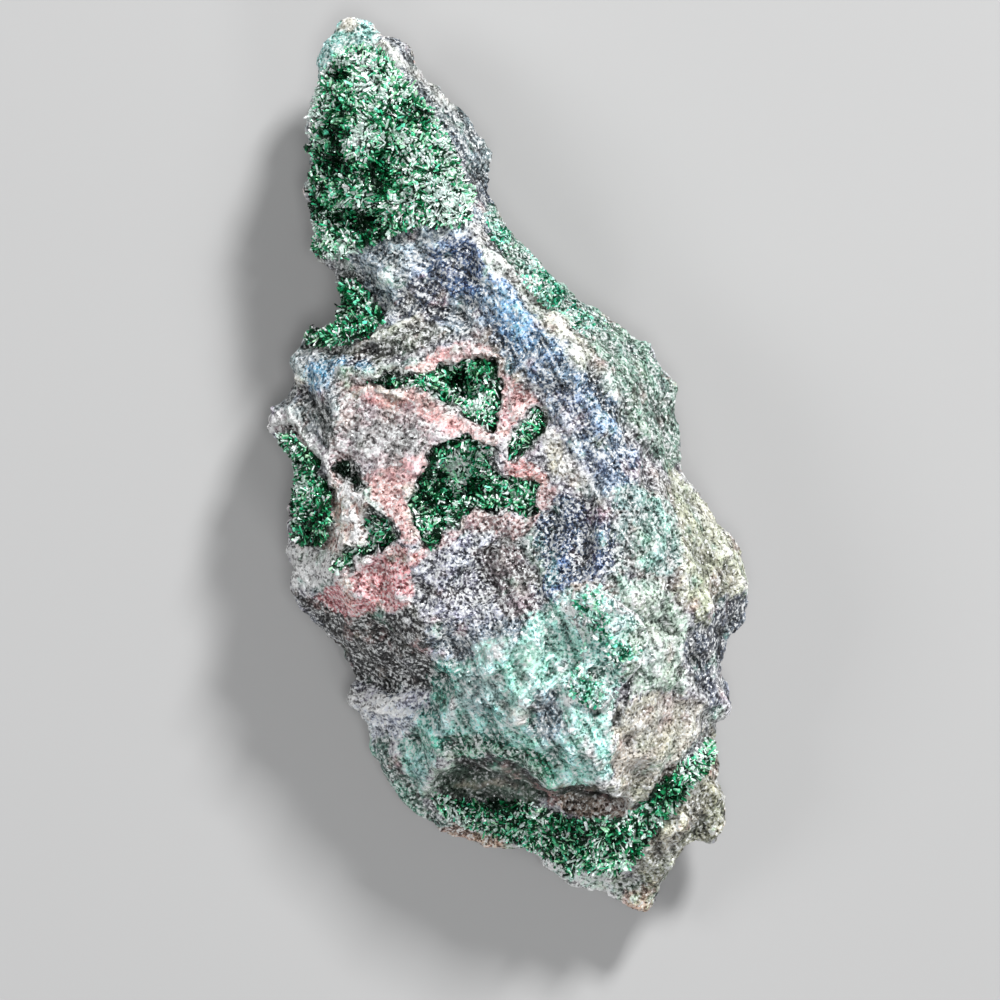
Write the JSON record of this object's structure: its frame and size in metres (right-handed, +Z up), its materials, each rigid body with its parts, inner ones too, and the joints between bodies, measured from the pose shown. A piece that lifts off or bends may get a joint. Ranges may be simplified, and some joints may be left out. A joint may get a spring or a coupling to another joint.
{
  "type": "mineral specimen",
  "caption": "Long, broken rock specimen with a narrow neck; glassy deep-green crystal crusts line its hollows and ledges on a grey, blue and pink matrix.",
  "frame": {"origin": "on the plane of the flat broken face that the specimen rests on, under the centre of its bounding box", "axes": "+Y along the specimen's length, to the tip of the narrow neck; +X across it, to the flank of the long ridge; +Z up, away from the face it rests on"},
  "size_m": [0.0544, 0.1014, 0.0322],
  "materials": {
    "matrix": "rough sparkling rock in grey, navy blue, pink and pale green",
    "brochantite": "glassy, slightly translucent emerald to black-green crystals"
  },
  "bodies": {
    "root": {"matrix": "matrix", "neck_druse": "brochantite", "notch_druse": "brochantite", "left_rim_druse": "brochantite", "upper_vug_druse": "brochantite", "right_vug_druse": "brochantite", "middle_vug_druse": "brochantite", "small_vug_druse": "brochantite", "lower_vug_druse": "brochantite", "terrace_druse": "brochantite", "crown_druse": "brochantite", "shoulder_druse": "brochantite"}
  },
  "joints": []
}
